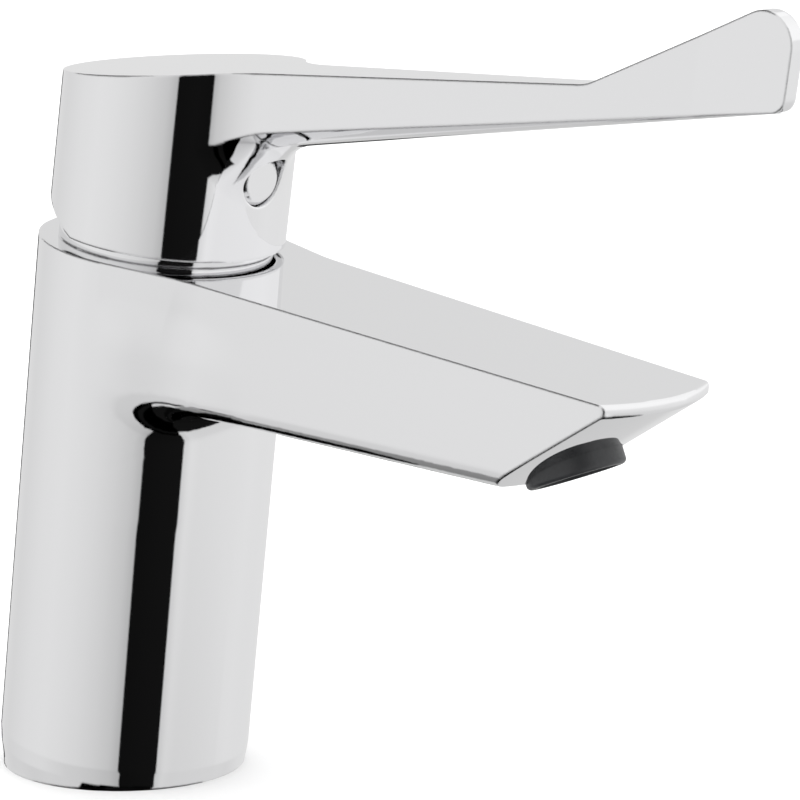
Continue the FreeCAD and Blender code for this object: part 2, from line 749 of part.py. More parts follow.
def side_block(name, corners):
    """A block across the handle from its outline as seen from the side."""
    body = new_body(name, HANDLE_FRAME)
    sketch = new_sketch(body, name + "_outline", "XZ_Plane")
    outline(sketch, corners)
    pad(body, sketch, "2 * lever_root_width")
    return body


def plan_block(name, half_plan):
    """An upright block from one half of its outline as seen from above."""
    body = new_body(name, HANDLE_FRAME)
    sketch = new_sketch(body, name + "_outline", "XY_Plane")
    near_side = [(along, "-(%s)" % across) for along, across in half_plan]
    outline(sketch, near_side + half_plan[::-1])
    pad(body, sketch, "8 * body_radius")
    return body


def lever_beam():
    """Tapering lever with a flat top and upright sides."""
    side = side_block("lever_side", [
        ("0", LEVER_LOW % "0"),
        (LEVER_END, LEVER_LOW % LEVER_END),
        (LEVER_END, LEVER_TOP % LEVER_END),
        ("0", LEVER_TOP % "0"),
    ])
    plan = plan_block("lever_plan", [("0", "lever_root_width / 2"), (LEVER_END, "blade_thickness / 2")])
    return common("lever_beam", side, plan)


def lever_keel():
    """Round underside of the lever: a cone that meets the lower edges of the sides and ends at their apex."""
    tip = size("lever_root_width / lever_taper")
    rise = math.tan(math.radians(size("lever_under_rise")))
    half_taper = size("lever_taper / 2")
    side_edge = Vector(-1, half_taper, -rise).normalize()
    lowest_line = Vector(-1, 0, -rise - size("lever_keel_share") * half_taper).normalize()
    axis = (side_edge - lowest_line).cross(Vector(0, 1, 0)).normalize()
    if axis.x > 0:
        axis = -axis
    cone = doc.addObject("Part::Cone", "keel_cone")
    cone.Radius1 = 0
    cone.Radius2 = tip * math.tan(axis.getAngle(lowest_line))
    cone.Height = tip
    start = Vector(tip, 0, size(LEVER_LOW % tip))
    cone.Placement = HANDLE_FRAME.multiply(Placement(start, Rotation(Vector(0, 0, 1), axis)))
    below = side_block("keel_side", [
        ("0", LEVER_LOW % "0"),
        ("0", LEVER_LOW % "0" + " - lever_root_width"),
        ("blade_reach", LEVER_LOW % "blade_reach" + " - lever_root_width"),
        ("blade_reach", LEVER_LOW % "blade_reach"),
    ])
    return common("lever_keel", cone, below)


def lever_blade():
    """Upright blade that the lever grows into."""
    top = LEVER_TOP % "blade_start"
    side = side_block("blade_side", [
        ("blade_start", LEVER_LOW % "blade_start"),
        ("blade_reach", LEVER_LOW % "blade_reach"),
        ("blade_reach", top + " + (blade_reach - blade_start) * tan(blade_slope * 1deg)"),
        ("blade_start", top),
    ])
    plan = plan_block("blade_plan", [
        ("blade_start - 1", "(lever_root_width - lever_taper * (blade_start - 1)) / 2"),
        (LEVER_END, "blade_thickness / 2"),
        ("blade_reach + 1", "blade_thickness / 2"),
    ])
    blade = common("blade_block", side, plan)
    reach = size("blade_reach")
    middle = size(LEVER_TOP % "blade_reach")

    def end_edge(edge, high):
        points = in_frame(edge, HANDLE_FRAME)
        at_end = all(abs(p.x - reach) < 0.1 for p in points) and abs(points[0].y - points[-1].y) > 1
        return at_end and (points[0].z > middle) == high

    blade = rounded("blade_tip", blade, "blade_tip_radius", lambda edge: end_edge(edge, True))
    return rounded("blade_foot", blade, "blade_foot_radius", lambda edge: end_edge(edge, False))


def handle_lever():
    column = rod("cap_column", "handle_radius", "2 * handle_height",
                 at("0", "0", "handle_foot", HANDLE_FRAME))
    above = block("cap_top_cut", "8 * handle_radius", "8 * handle_radius", "4 * handle_height",
                  slanted("handle_height", "-handle_top_rise", "-4 * handle_radius", "0"))
    cap = cut("cap_outer", column, [above])
    outer = fuse("handle_outer", [cap, lever_beam(), lever_keel(), lever_blade()])
    rise = math.tan(math.radians(size("handle_top_rise")))

    start = size("blade_start")
    start_top = size(LEVER_TOP % "blade_start")

    def blade_corner(edge):
        points = in_frame(edge, HANDLE_FRAME)
        return edge.Length > 1 and all(abs(p.x - start) < 0.3 and abs(p.z - start_top) < 0.3 for p in points)

    def lever_root(edge):
        points = in_frame(edge, HANDLE_FRAME)
        on_wall = all(abs(math.hypot(p.x, p.y) - size("handle_radius")) < 0.05 and p.x > 0 for p in points)
        seam = all(abs(p.y) < 0.01 for p in points)
        on_top = all(abs(p.z - size("handle_height") - p.x * rise) < 0.05 for p in points)
        return on_wall and not seam and not on_top and points[0].z > size("plug_height")

    eased = rounded("blade_eased", outer, "blade_blend_radius", blade_corner)
    rooted = rounded("lever_rooted", eased, "lever_root_radius", lever_root)
    return cut("handle_lever", rooted, [handle_hollow()] + handle_holes())


def slanted(height, angle, along, up):
    """Corner of a block that is turned about the Y axis at a height in the handle."""
    hinge = Placement(Vector(0, 0, size(height)), Rotation(Vector(0, 1, 0), size(angle)))
    return HANDLE_FRAME.multiply(hinge).multiply(at(along, "-4 * handle_radius", up))


def handle_hollow():
    """Room under the cap, less the boss for the stem and the tube for the grub screw."""
    room = rod("cap_room", "handle_radius - handle_wall", "2 * handle_height",
               at("0", "0", "-handle_foot", HANDLE_FRAME))
    roof = block("cap_roof", "8 * handle_radius", "8 * handle_radius", "4 * handle_height",
                 slanted("handle_height - handle_roof", "-handle_top_rise", "-4 * handle_radius", "0"))
    boss = rod("cap_boss", "boss_radius", "2 * handle_height", at("0", "0", "boss_foot", HANDLE_FRAME))
    tube = rod("cap_tube", "plug_hole_radius + handle_wall", "handle_radius",
               at("0", "0", "plug_height", HANDLE_FRAME, FORWARD))
    return cut("cap_hollow", room, [roof, boss, tube])


def handle_holes():
    gap = "2 * seat_gap"
    socket = block("stem_socket", "stem_width + " + gap, "stem_width + " + gap, "stem_top + seat_gap",
                   at("-stem_width / 2 - seat_gap", "-stem_width / 2 - seat_gap", "0", HANDLE_FRAME))
    grub_hole = rod("grub_hole", "grub_radius + seat_gap", "handle_radius",
                    at("0", "0", "plug_height", HANDLE_FRAME, FORWARD))
    plug_hole = rod("plug_hole", "plug_hole_radius", "handle_radius",
                    at("handle_radius - plug_inset - plug_length", "0", "plug_height", HANDLE_FRAME, FORWARD))
    relief = block("cap_relief", "4 * handle_radius", "8 * handle_radius", "2 * handle_height",
                   slanted("relief_gap", "handle_lift - handle_rest_tilt",
                           "-4 * handle_radius", "-2 * handle_height"))
    return [socket, grub_hole, plug_hole, relief]


def grub_screw():
    screw = rod("grub_blank", "grub_radius", "grub_length",
                at("stem_width / 2 + seat_gap / 2", "0", "plug_height", HANDLE_FRAME, FORWARD))
    key = doc.addObject("Part::Prism", "grub_key")
    key.Polygon = 6
    key.setExpression("Circumradius", bound("grub_radius * grub_key_share"))
    key.setExpression("Height", bound("grub_length"))
    key.Placement = at("stem_width / 2 + grub_length / 2", "0", "plug_height", HANDLE_FRAME, FORWARD)
    return cut("grub_screw", screw, [key])


def hole_plug():
    plug = turned("plug_turned", [
        ("0", "0"),
        ("plug_hole_radius - seat_gap", "0"),
        ("plug_hole_radius - seat_gap", "plug_length - plug_edge"),
        ("plug_hole_radius - seat_gap - plug_edge", "plug_length"),
        ("0", "plug_length"),
    ], at("handle_radius - plug_inset - plug_length", "0", "plug_height", HANDLE_FRAME, FORWARD))
    plug.Label = "hole_plug"
    return plug


# Aerator
def aerator_housing():
    blank = turned("aerator_blank", [
        ("aerator_bore_radius", "-aerator_length"),
        ("aerator_radius - aerator_thread_step - seat_gap", "-aerator_length"),
        ("aerator_radius - aerator_thread_step - seat_gap", "seat_gap - aerator_collar"),
        ("aerator_radius", "seat_gap - aerator_collar"),
        ("aerator_radius", "0"),
        ("aerator_bore_radius", "0"),
    ], AERATOR_FRAME)
    rim = size("aerator_radius - seat_gap")
    return rounded("aerator_housing", blank, "aerator_edge_radius", lambda edge: all(
        abs(p.z) < 0.01 and math.hypot(p.x, p.y) > rim for p in in_frame(edge, AERATOR_FRAME)))


CORE_LOW = "-mesh_depth - mesh_thickness - aerator_core_height"


def aerator_core():
    """Block with two rings of jets."""
    blank = rod("core_blank", "aerator_bore_radius - seat_gap", "aerator_core_height - 2 * seat_gap",
                at("0", "0", CORE_LOW, AERATOR_FRAME))
    jets = []
    for share, count in ((0.35, 4), (0.72, 8)):
        reach = size("aerator_bore_radius") * share
        for k in range(count):
            turn = 2 * math.pi * k / count
            place = at(reach * math.cos(turn), reach * math.sin(turn), CORE_LOW + " - 1", AERATOR_FRAME)
            jets.append(rod("jet_%d_%d" % (count, k), "jet_radius", "aerator_core_height + 2", place))
    return cut("aerator_core", blank, jets)


def aerator_mesh():
    """Woven outlet screen as one plate with square gaps."""
    radius = size("aerator_bore_radius - seat_gap")
    rim = size("mesh_rim")
    pitch = size("mesh_pitch")
    gap = size("mesh_pitch - mesh_wire")
    thickness = size("mesh_thickness")
    reach = int(radius / pitch)
    gaps = []
    for i in range(-reach, reach + 1):
        for j in range(-reach, reach + 1):
            if math.hypot(abs(i) * pitch + gap / 2, abs(j) * pitch + gap / 2) < radius - rim:
                corner = Vector(i * pitch - gap / 2, j * pitch - gap / 2, -thickness)
                gaps.append(Part.makeBox(gap, gap, 3 * thickness, corner))
    mesh = doc.addObject("Part::Feature", "aerator_mesh")
    mesh.Shape = Part.makeCylinder(radius, thickness).cut(Part.makeCompound(gaps))
    mesh.Placement = at("0", "0", "-mesh_depth - mesh_thickness", AERATOR_FRAME)
    return mesh


def flow_regulator():
    return washer("flow_regulator", "regulator_hole_radius", "aerator_bore_radius - seat_gap",
                  "-aerator_length + 2 * seat_gap", CORE_LOW + " - seat_gap", AERATOR_FRAME)


def aerator_washer():
    return washer("aerator_washer", "aerator_bore_radius - aerator_washer_lip",
                  "aerator_radius - aerator_thread_step - seat_gap",
                  "-socket_depth + seat_gap", "-aerator_length - seat_gap / 2", AERATOR_FRAME)


nodes = [
    body_casting(),
    foot_seal(),
    cartridge_nut(),
    neck_shroud(),
    cartridge_housing(),
    housing_seal(),
    cartridge_base(),
    port_rings("base_seals", ("hot", "cold"), "-cartridge_depth"),
    port_rings("disc_seals", ("hot", "cold", "outlet"), "base_height - cartridge_depth - port_seal_height"),
    fixed_disc(),
    moving_disc(),
    disc_carrier(),
    cartridge_rotor(),
    pivot_pin(),
    limit_ring(),
    lever_stem(),
    handle_lever(),
    grub_screw(),
    hole_plug(),
    aerator_housing(),
    aerator_core(),
    aerator_mesh(),
    flow_regulator(),
    aerator_washer(),
]

doc.recompute()
failed = [o.Name for o in doc.Objects if "Invalid" in o.State or "Error" in o.State]
failed += [n.Label for n in nodes if n.Shape.isNull() or not n.Shape.isValid()]
if failed:
    raise ValueError("not built: " + ", ".join(failed))

os.makedirs("parts", exist_ok=True)
for node in nodes:
    shape = node.Shape
    print(node.Label, len(shape.Solids), "solids", round(shape.Volume), "mm3")
    shape.exportStep("parts/%s.step" % node.Label)
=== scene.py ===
import json
import math

import bpy
import numpy as np
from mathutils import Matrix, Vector


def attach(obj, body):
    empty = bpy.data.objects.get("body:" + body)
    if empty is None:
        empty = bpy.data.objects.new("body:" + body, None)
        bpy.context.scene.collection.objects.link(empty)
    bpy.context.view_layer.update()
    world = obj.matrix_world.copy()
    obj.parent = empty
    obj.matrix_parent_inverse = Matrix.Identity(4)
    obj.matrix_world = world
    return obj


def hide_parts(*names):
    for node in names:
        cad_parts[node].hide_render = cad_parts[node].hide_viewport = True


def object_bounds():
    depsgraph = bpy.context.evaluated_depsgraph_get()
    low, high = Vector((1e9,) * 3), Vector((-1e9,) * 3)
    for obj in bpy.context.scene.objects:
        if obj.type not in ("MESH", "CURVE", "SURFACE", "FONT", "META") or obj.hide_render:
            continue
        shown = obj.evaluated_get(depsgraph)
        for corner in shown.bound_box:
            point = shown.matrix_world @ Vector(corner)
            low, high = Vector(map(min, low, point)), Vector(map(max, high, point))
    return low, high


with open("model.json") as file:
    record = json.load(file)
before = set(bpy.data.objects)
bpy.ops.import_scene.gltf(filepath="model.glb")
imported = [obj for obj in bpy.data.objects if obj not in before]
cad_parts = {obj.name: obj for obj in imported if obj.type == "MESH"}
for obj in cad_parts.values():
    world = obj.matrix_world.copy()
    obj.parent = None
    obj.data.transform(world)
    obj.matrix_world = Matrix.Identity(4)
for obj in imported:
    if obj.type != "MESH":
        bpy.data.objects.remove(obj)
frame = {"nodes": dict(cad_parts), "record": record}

MM = 0.001
cad_box = [list(corner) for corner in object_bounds()]

# Camera: 40.8 degrees round to the right of the spout, 10.8 degrees up, long lens
CAMERA_ROUND = math.radians(40.76)
CAMERA_UP = math.radians(10.84)
CAMERA_TARGET = Vector((71.215, 0.0, 79.782)) * MM
CAMERA_DISTANCE = 805.5 * MM
CAMERA_LENS = 200.44
CAMERA_SENSOR = 36.0
CAMERA_NEAR = 0.01

# Grain of the surfaces: how finely the noise is broken up, and the part of its range that is used
GRAIN_DETAIL = 3.0
GRAIN_RANGE = (0.3, 0.7)
# Chrome: radius in mm that polishing leaves on the sharp edges, and the rays that feel for an edge
EASED_EDGE = 0.8
EDGE_RAYS = 6
# Chrome: length and height in mm of the waves left by the polishing wheel, and the share of them that shows
WAVE_LENGTH = 9.0
WAVE_HEIGHT = 0.02
WAVE_SHARE = 0.02
# Chrome: width in mm of its clearer and hazier places, and their roughness
HAZE_WIDTH = 3.0
HAZE_ROUGHNESS = (0.018, 0.032)
# Other finishes: the share of the bumps' height that shows, and how many bumps go across one rough place
BUMP_SHARE = 0.3
BUMPS_ACROSS = 3

# Column and spout in mm, in the frame of the column's leaning axis
LEAN = math.radians(7.25)
AXIS_TURN = np.array([[math.cos(LEAN), 0, -math.sin(LEAN)],
                      [0, 1, 0],
                      [math.sin(LEAN), 0, math.cos(LEAN)]])
BODY_LENGTH = 103.8
COLUMN_RADIUS = 24.0
SPOUT_HALF_WIDTH = 19.95
SPOUT_DEPTH = 27.9
SPOUT_EDGE = 4.0
# How far the spout's side and its underside draw in for each mm forward
SIDE_TAPER = 0.0409
UNDER_TAPER = 0.0754

# Root of the spout in mm: width of the blend beside the column at the top and at the underside, its width
# straight in front, and how far the spout's side draws in low down
BLEND_TOP = 9.0
BLEND_LOW = 6.0
BLEND_FRONT = 4.0
ROOT_DRAW_IN = 1.0
# The stretches in mm over which those come or go: down from the flat top, out to the side, and forward
DRAW_IN_DOWN = (8, 34)
DRAW_IN_AHEAD = (18, 48)
BLEND_DOWN = (8, 32)
BLEND_ASIDE = (2, 15)
BLEND_AHEAD = (0, 14)
# The stretches over which the casting's surface begins or ceases to move: degrees round from the side, mm
# forward, mm down from the flat top at both ends, and mm out from the axis
MOVED_ROUND = (0, 22)
MOVED_AHEAD = (22, 42)
MOVED_DOWN = (3, 16)
MOVED_UNTIL = (40, 52)
MOVED_OUT = (22.5, 23.3)
# What lies further than this many mm from the new root stays
MOVED_REACH = 4

# Finer triangles in the root: longest edge in mm, rounds of cutting, and the pull of the end normals
ROOT_STEP = 1.2
ROOT_CUTS = 12
END_PULL = 0.25
# Steps onto the new root: their number, the share of the way that each goes, the mm over which the slope is
# measured, and the least squared slope
ROOT_MOVES = 8
MOVE_SHARE = 0.8
SLOPE_STEP = 0.01
LEAST_SLOPE = 0.2
# Points within this many metres are one, and the new normals come in over this range of the share
SAME_PLACE = 1e-7
NORMAL_FADE = (0.0, 0.3)
NOT_ZERO = 1e-20

# A triangle of the root in smaller ones, by which of its edges are cut. Its corners are 0 to 2, and the
# middles of the edges that follow them are 3 to 5.
UNCUT = [[0, 1, 2]]
FIRST_CUT = [[0, 3, 2], [3, 1, 2]]
LAST_TWO_CUT = [[0, 1, 4], [0, 4, 5], [5, 4, 2]]
ALL_CUT = [[0, 3, 5], [3, 1, 4], [5, 4, 2], [3, 4, 5]]

# Brightness of the tent against the angle round from the camera in degrees, positive to its right
TENT_ROUND = [(-180, 0.8), (-135, 0.81), (-104, 0.9), (-82, 0.93), (-63, 0.91), (-45, 0.87),
              (-29, 0.81), (-13, 0.72), (-5, 0.6), (34, 0.84), (41, 0.97), (50, 0.94), (113, 0.97),
              (147, 0.91), (180, 0.8)]
# Brightness against the height of the direction, -1 straight down to 1 straight up
TENT_HEIGHT = [(-1.0, 0.8), (-0.48, 0.84), (-0.4, 0.93), (-0.28, 0.97), (-0.16, 1.0), (1.0, 1.0)]
# Middle angle, half its width, middle height, half its height, and the share of light that it gives
TENT_PATCHES = [
    (14.5, 18.5, -0.02, 0.7, 0.01),      # gap between the walls beside the camera
    (-30.0, 63.0, -0.69, 0.03, 0.01),    # gap under the front wall
    (-122.5, 27.5, -0.84, 0.16, 0.4),    # grey ground on the left
    (-13.5, 46.5, -0.84, 0.18, 0.01),    # dark ground in front
    (0.0, 180.0, -0.9, 0.12, 0.01),      # dark ground straight below
    (-110.0, 50.0, 0.68, 0.27, 0.01),    # opening overhead on the left
    (-171.0, 9.0, -0.24, 0.2, 0.1),      # flag behind the tap on its left
    (75.0, 75.0, 0.55, 0.45, 1.2),       # lamp overhead on the right
    (165.0, 15.0, 0.73, 0.27, 1.3),      # lamp overhead behind
]
# Strength of the tent in mirrors, and of the plain white light on everything else
TENT_LIGHT = 1.0
SOFT_LIGHT = 1.5
WHITE = (1, 1, 1, 1)
FLOOR_HALF = 3.0


def linear(code):
    """Linear colour of an sRGB hex value such as c8cacc, by the sRGB curve."""
    values = [int(code[k:k + 2], 16) / 255 for k in (0, 2, 4)]
    return [v / 12.92 if v <= 0.04045 else ((v + 0.055) / 1.055) ** 2.4 for v in values] + [1.0]


def add(tree, kind, settings=None, links=None):
    """Adds a node, sets its properties and its sockets by name or number, and links outputs into it."""
    node = tree.nodes.new(kind)
    for name, value in (settings or {}).items():
        if isinstance(name, int) or name in node.inputs:
            node.inputs[name].default_value = value
        else:
            setattr(node, name, value)
    for name, source in (links or {}).items():
        tree.links.new(source, node.inputs[name])
    return node


def material(name):
    """An empty node material and its tree."""
    made = bpy.data.materials.new(name)
    made.use_nodes = True
    made.node_tree.nodes.clear()
    return made, made.node_tree


def grain(tree, width_mm, low, high):
    """Soft noise of one grain width in object coordinates, its middle range spread from low to high."""
    place = add(tree, "ShaderNodeTexCoord")
    noise = add(tree, "ShaderNodeTexNoise", {"Scale": 1 / (width_mm * MM), "Detail": GRAIN_DETAIL},
                {"Vector": place.outputs["Object"]})
    return add(tree, "ShaderNodeMapRange",
               {"From Min": GRAIN_RANGE[0], "From Max": GRAIN_RANGE[1], "To Min": low, "To Max": high},
               {"Value": noise.outputs["Fac"]})


def chrome(name):
    """Chrome plating: the normal is rounded over the edges and then tilted by the wheel's waves, and the
    roughness goes between a clear and a slightly hazy mirror."""
    made, tree = material(name)
    wave = grain(tree, WAVE_LENGTH, 0.0, 1.0)
    eased = add(tree, "ShaderNodeBevel", {"Radius": EASED_EDGE * MM, "samples": EDGE_RAYS})
    bump = add(tree, "ShaderNodeBump", {"Strength": WAVE_SHARE, "Distance": WAVE_HEIGHT * MM},
               {"Height": wave.outputs["Result"], "Normal": eased.outputs["Normal"]})
    haze = grain(tree, HAZE_WIDTH, *HAZE_ROUGHNESS)
    shader = add(tree, "ShaderNodeBsdfPrincipled", {"Base Color": linear("e7e7e8"), "Metallic": 1.0},
                 {"Roughness": haze.outputs["Result"], "Normal": bump.outputs["Normal"]})
    add(tree, "ShaderNodeOutputMaterial", links={"Surface": shader.outputs["BSDF"]})
    return made


def plain(name, code, rough, width, height, metallic=0.0):
    """One coloured material. Its roughness goes from the first to the second value over places of the given
    width in mm, and its bumps have a third of that width and the given height in mm. The real turned or
    moulded grain is 0.1 to 0.3 mm wide, too fine to show, so it is drawn several times as coarse."""
    made, tree = material(name)
    sheen = grain(tree, width, *rough)
    fine = grain(tree, width / BUMPS_ACROSS, 0.0, 1.0)
    bump = add(tree, "ShaderNodeBump", {"Strength": BUMP_SHARE, "Distance": height * MM},
               {"Height": fine.outputs["Result"]})
    shader = add(tree, "ShaderNodeBsdfPrincipled", {"Base Color": linear(code), "Metallic": metallic},
                 {"Roughness": sheen.outputs["Result"], "Normal": bump.outputs["Normal"]})
    add(tree, "ShaderNodeOutputMaterial", links={"Surface": shader.outputs["BSDF"]})
    return made


# The finish of each material slot
finish = {
    # cast, ground and polished brass under chrome: a cool clean mirror that waves only very faintly
    "plated_brass": chrome("polished_chrome"),
    # brass as turned: warm yellow, with satin highlights spread by the fine marks of turning
    "bare_brass": plain("turned_brass", "c9a25e", rough=(0.22, 0.34), width=0.8, height=0.01, metallic=1.0),
    # stainless steel as turned: light neutral grey, a little crisper than the brass
    "bright_steel": plain("turned_steel", "bfc1c2", rough=(0.2, 0.32), width=0.8, height=0.01, metallic=1.0),
    # rubber pressed in a mould: near black and matt, with no clear highlight
    "black_rubber": plain("moulded_rubber", "1b1b1c", rough=(0.62, 0.78), width=0.9, height=0.03),
    # undyed acetal from a smooth mould: milky white with a soft waxy shine
    "pale_plastic": plain("moulded_acetal", "d9d8d0", rough=(0.38, 0.5), width=1.2, height=0.02),
    # filled nylon from a mould: dark grey and duller than acetal, as its fibres come near the skin
    "dark_plastic": plain("moulded_nylon", "303133", rough=(0.42, 0.55), width=1.2, height=0.02),
    # acetal dyed through: strong red with the same waxy shine
    "red_plastic": plain("dyed_acetal", "a3271f", rough=(0.38, 0.5), width=1.2, height=0.02),
    # moulded ABS under chrome: the same mirror as on the castings
    "plug_plastic": chrome("chromed_abs"),
    # black ABS from a finely etched mould: a satin skin that spreads highlights into broad grey patches
    "collar_plastic": plain("satin_abs", "28292b", rough=(0.34, 0.46), width=0.6, height=0.02),
    # alumina ground and lapped flat: white and dense, close to a mirror where light grazes it
    "white_ceramic": plain("lapped_alumina", "efeee9", rough=(0.12, 0.2), width=1.5, height=0.004),
}
# the handle's zinc casting is polished and plated in the same way as the body
finish["plated_zinc"] = finish["plated_brass"]


def coat_parts():
    """Gives each piece the finish of its slot."""
    for part in frame["record"]["subparts"]:
        mesh = frame["nodes"][part["node"]].data
        mesh.materials.clear()
        mesh.materials.append(finish[part["material_slot"]])


def in_axis_frame(points):
    """Metres in the object's frame as millimetres along the leaning axis, with height 0 at the flat top."""
    return points / MM @ AXIS_TURN.T - [0, 0, BODY_LENGTH]


def ease(value, low, high):
    """0 below low, 1 above high, and between them 3 t squared less 2 t cubed."""
    t = np.clip((value - low) / (high - low), 0, 1)
    return t * t * (3 - 2 * t)


def root_distance(places):
    """Signed distance to the soft union of column and spout, in mm.

    The column is a cylinder. The spout is a tapering bar with rounded lower edges. Where the distances to
    the two differ by less than the blend's width, the smaller one is lowered by a parabola, which fills the
    corner between them.
    """
    forward, across, height = places.T
    aside = np.abs(across)
    down = -height
    column = np.hypot(forward, across) - COLUMN_RADIUS
    drawn_in = ROOT_DRAW_IN * ease(down, *DRAW_IN_DOWN) * (1 - ease(forward, *DRAW_IN_AHEAD))
    side = aside - (SPOUT_HALF_WIDTH - SIDE_TAPER * forward - drawn_in) + SPOUT_EDGE
    under = down - (SPOUT_DEPTH - UNDER_TAPER * forward) + SPOUT_EDGE
    spout = (np.hypot(np.maximum(side, 0), np.maximum(under, 0))
             + np.minimum(np.maximum(side, under), 0) - SPOUT_EDGE)
    beside = BLEND_TOP + (BLEND_LOW - BLEND_TOP) * ease(down, *BLEND_DOWN)
    blend = BLEND_FRONT + (beside - BLEND_FRONT) * ease(aside, *BLEND_ASIDE) * ease(forward, *BLEND_AHEAD)
    t = np.clip(0.5 + 0.5 * (spout - column) / blend, 0, 1)
    return spout * (1 - t) + column * t - blend * t * (1 - t)


def root_share(points):
    """1 on the outside where spout and column meet, falling to 0 round there and inside the casting."""
    places = in_axis_frame(points)
    forward, across, height = places.T
    down = -height
    turned = np.degrees(np.arctan2(forward, np.abs(across)))
    out = np.hypot(forward, across)
    share = ease(turned, *MOVED_ROUND) * (1 - ease(forward, *MOVED_AHEAD))
    share *= ease(down, *MOVED_DOWN) * (1 - ease(down, *MOVED_UNTIL)) * ease(out, *MOVED_OUT)
    return share * (np.abs(root_distance(places)) < MOVED_REACH)


def welded(source):
    """The mesh as triangles whose points at one place are one: points, corners, and the corners' normals."""
    points = np.zeros((len(source.vertices), 3))
    source.vertices.foreach_get("co", points.ravel())
    source.calc_loop_triangles()
    corners = np.zeros((len(source.loop_triangles), 3), int)
    source.loop_triangles.foreach_get("vertices", corners.ravel())
    loops = np.zeros_like(corners)
    source.loop_triangles.foreach_get("loops", loops.ravel())
    normals = np.zeros((len(source.loops), 3))
    source.corner_normals.foreach_get("vector", normals.ravel())
    normals = normals[loops]
    _, kept, number = np.unique(np.round(points / SAME_PLACE).astype(np.int64), axis=0,
                                return_index=True, return_inverse=True)
    points, corners = points[kept], number.ravel()[corners]
    whole = (corners != np.roll(corners, 1, 1)).all(1)
    return points, corners[whole], normals[whole]


def halved(points, corners, normals):
    """Cuts the root's triangles at the middles of their longer edges, and keeps the surface closed.

    Each middle leaves its edge towards the round wall that the normals at the two ends tell: by a part of
    how far half the edge rises along the one normal, less how far it rises along the other.
    """
    ahead = np.roll(corners, -1, 1)
    code = np.minimum(corners, ahead) * len(points) + np.maximum(corners, ahead)
    edges, number = np.unique(code, return_inverse=True)
    number = number.reshape(code.shape)
    first, second = edges // len(points), edges % len(points)
    middle = (points[first] + points[second]) / 2
    moves = root_share(points) > 0
    near = (root_share(middle) > 0) | moves[first] | moves[second]
    cut = near & (np.linalg.norm(points[first] - points[second], axis=1) > ROOT_STEP * MM)

    across = (points[ahead] - points[corners]) / 2
    other = np.roll(normals, -1, 1)
    lift = END_PULL * ((across * other).sum(2, keepdims=True) * other
                       - (across * normals).sum(2, keepdims=True) * normals)
    for axis in range(3):
        middle[:, axis] += (np.bincount(number.ravel(), lift[..., axis].ravel(), len(edges))
                            / np.bincount(number.ravel(), minlength=len(edges)))
    place = np.where(cut, len(points) + np.cumsum(cut) - 1, -1)
    spots = np.concatenate([corners, place[number]], 1)
    between = normals + other
    faces = np.concatenate([normals, between / np.linalg.norm(between, axis=2, keepdims=True)], 1)

    split = cut[number]
    many = split.sum(1)
    rows = [(many == 0, 0, UNCUT), (many == 3, 0, ALL_CUT)]
    for turn in range(3):
        rows.append(((many == 1) & split[:, turn], turn, FIRST_CUT))
        rows.append(((many == 2) & ~split[:, turn], turn, LAST_TWO_CUT))
    new_corners, new_normals = [], []
    for chosen, turn, triples in rows:
        order = [(k + turn) % 3 + 3 * (k > 2) for k in range(6)]
        for triple in triples:
            picked = [order[k] for k in triple]
            new_corners.append(spots[chosen][:, picked])
            new_normals.append(faces[chosen][:, picked])
    points = np.concatenate([points, middle[cut]])
    return points, np.concatenate(new_corners), np.concatenate(new_normals)


def on_root(places):
    """Places moved along the slope of the soft union's distance until it is 0 there."""
    places = places.copy()
    for _ in range(ROOT_MOVES):
        slope = np.stack([(root_distance(places + step) - root_distance(places - step)) / (2 * SLOPE_STEP)
                          for step in SLOPE_STEP * np.eye(3)], 1)
        steepness = np.maximum((slope ** 2).sum(1), LEAST_SLOPE)
        places -= (MOVE_SHARE * root_distance(places) / steepness)[:, None] * slope
    return places


def soft_root():
    """The casting with its spout flowing out of the column. Its points in the root go onto the soft union,
    each by its share, and the normals there become the mean of the faces round each point, by area."""
    points, corners, normals = welded(frame["nodes"]["body_casting"].data)
    for _ in range(ROOT_CUTS):
        points, corners, normals = halved(points, corners, normals)

    share = root_share(points)
    moving = np.flatnonzero(share > 0)
    start = in_axis_frame(points[moving])
    points[moving] += share[moving, None] * (on_root(start) - start) @ AXIS_TURN * MM
    points = np.clip(points, *cad_box)

    side_a = points[corners[:, 1]] - points[corners[:, 0]]
    side_b = points[corners[:, 2]] - points[corners[:, 0]]
    face = np.repeat(np.cross(side_a, side_b), 3, 0)
    total = np.stack([np.bincount(corners.ravel(), face[:, axis], len(points)) for axis in range(3)], 1)
    total /= np.maximum(np.linalg.norm(total, axis=1, keepdims=True), NOT_ZERO)
    mix = ease(share[corners], *NORMAL_FADE)[..., None]
    normals = normals * (1 - mix) + total[corners] * mix

    mesh = bpy.data.meshes.new("tap_casting")
    mesh.from_pydata(points.tolist(), [], corners.tolist())
    mesh.polygons.foreach_set("use_smooth", [True] * len(corners))
    mesh.normals_split_custom_set(normals.reshape(-1, 3).tolist())
    mesh.materials.append(finish["plated_brass"])
    casting = bpy.data.objects.new("tap_casting", mesh)
    bpy.context.scene.collection.objects.link(casting)
    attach(casting, "tap_body")
    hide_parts("body_casting")


def camera():
    """Camera on a sphere round its target, looking at it."""
    back = Vector((math.sin(CAMERA_ROUND) * math.cos(CAMERA_UP),
                   -math.cos(CAMERA_ROUND) * math.cos(CAMERA_UP), math.sin(CAMERA_UP)))
    lens = bpy.data.cameras.new("camera")
    lens.lens = CAMERA_LENS
    lens.sensor_width = CAMERA_SENSOR
    lens.clip_start = CAMERA_NEAR
    view = bpy.data.objects.new("camera", lens)
    view.location = CAMERA_TARGET + back * CAMERA_DISTANCE
    view.rotation_euler = back.to_track_quat("Z", "Y").to_euler()
    bpy.context.scene.collection.objects.link(view)
    bpy.context.scene.camera = view


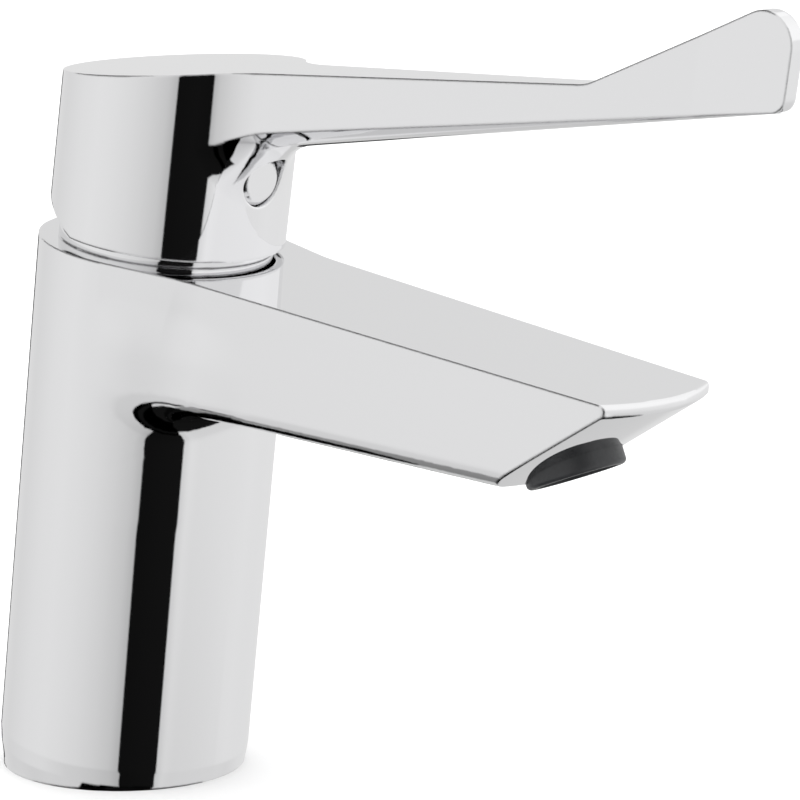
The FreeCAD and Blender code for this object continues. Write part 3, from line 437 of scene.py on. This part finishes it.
def scale(tree, source, low, high, stops):
    """Grey level of a value that runs from low to high: the stops, spread over that range and joined by
    straight lines."""
    place = add(tree, "ShaderNodeMapRange",
                {"From Min": low, "From Max": high, "To Min": 0.0, "To Max": 1.0}, {"Value": source})
    ramp = add(tree, "ShaderNodeValToRGB", links={"Fac": place.outputs["Result"]})
    band = ramp.color_ramp
    band.elements.remove(band.elements[1])
    for spot, _ in stops[1:]:
        band.elements.new((spot - stops[0][0]) / (stops[-1][0] - stops[0][0]))
    for element, (_, level) in zip(band.elements, stops):
        element.color = (level, level, level, 1)
    return ramp.outputs["Color"]


def studio():
    """White tent with dark gaps beside and under the camera, a dark opening and lamps overhead.

    Its brightness is the level round times the level by height, times the share of each patch that holds
    the direction. Mirrors see the tent, and everything else sees plain soft white.
    """
    world = bpy.data.worlds.new("studio")
    bpy.context.scene.world = world
    world.use_nodes = True
    tree = world.node_tree
    tree.nodes.clear()
    where = add(tree, "ShaderNodeTexCoord")
    turned = add(tree, "ShaderNodeVectorRotate",
                 {"rotation_type": "Z_AXIS", "Angle": math.pi / 2 - CAMERA_ROUND},
                 {"Vector": where.outputs["Generated"]})
    parts = add(tree, "ShaderNodeSeparateXYZ", links={"Vector": turned.outputs["Vector"]})
    height = parts.outputs["Z"]
    around = add(tree, "ShaderNodeMath", {"operation": "ARCTAN2"},
                 {0: parts.outputs["Y"], 1: parts.outputs["X"]}).outputs["Value"]
    level = add(tree, "ShaderNodeMath", {"operation": "MULTIPLY"},
                {0: scale(tree, around, -math.pi, math.pi, TENT_ROUND),
                 1: scale(tree, height, -1.0, 1.0, TENT_HEIGHT)}).outputs["Value"]
    for angle, half_angle, middle, half_height, share in TENT_PATCHES:
        near_angle = add(tree, "ShaderNodeMath",
                         {"operation": "COMPARE", 1: math.radians(angle), 2: math.radians(half_angle)},
                         {0: around})
        near_height = add(tree, "ShaderNodeMath",
                          {"operation": "COMPARE", 1: middle, 2: half_height}, {0: height})
        inside = add(tree, "ShaderNodeMath", {"operation": "MULTIPLY"},
                     {0: near_angle.outputs["Value"], 1: near_height.outputs["Value"]})
        passed = add(tree, "ShaderNodeMath", {"operation": "MULTIPLY_ADD", 1: share - 1.0, 2: 1.0},
                     {0: inside.outputs["Value"]})
        level = add(tree, "ShaderNodeMath", {"operation": "MULTIPLY"},
                    {0: level, 1: passed.outputs["Value"]}).outputs["Value"]
    mirror = add(tree, "ShaderNodeBackground", {"Strength": TENT_LIGHT}, {"Color": level})
    soft = add(tree, "ShaderNodeBackground", {"Color": WHITE, "Strength": SOFT_LIGHT})
    path = add(tree, "ShaderNodeLightPath")
    mix = add(tree, "ShaderNodeMixShader",
              links={"Fac": path.outputs["Is Glossy Ray"], 1: soft.outputs["Background"],
                     2: mirror.outputs["Background"]})
    add(tree, "ShaderNodeOutputWorld", links={"Surface": mix.outputs["Shader"]})


def floor():
    """Wide pale floor, one square at height 0. The chrome shows the tent in its place."""
    mesh = bpy.data.meshes.new("floor")
    square = [(x * FLOOR_HALF, y * FLOOR_HALF, 0) for x, y in ((-1, -1), (1, -1), (1, 1), (-1, 1))]
    mesh.from_pydata(square, [], [(0, 1, 2, 3)])
    ground = bpy.data.objects.new("floor", mesh)
    bpy.context.scene.collection.objects.link(ground)
    # matt white board: it takes soft shadows and gives no highlight
    made, tree = material("matt_white_board")
    shader = add(tree, "ShaderNodeBsdfPrincipled",
                 {"Base Color": linear("fafafa"), "Roughness": 0.9, "Specular IOR Level": 0.0})
    add(tree, "ShaderNodeOutputMaterial", links={"Surface": shader.outputs["BSDF"]})
    mesh.materials.append(made)
    ground.visible_glossy = False


coat_parts()
soft_root()
camera()
studio()
floor()
bpy.context.scene.view_settings.view_transform = "Standard"
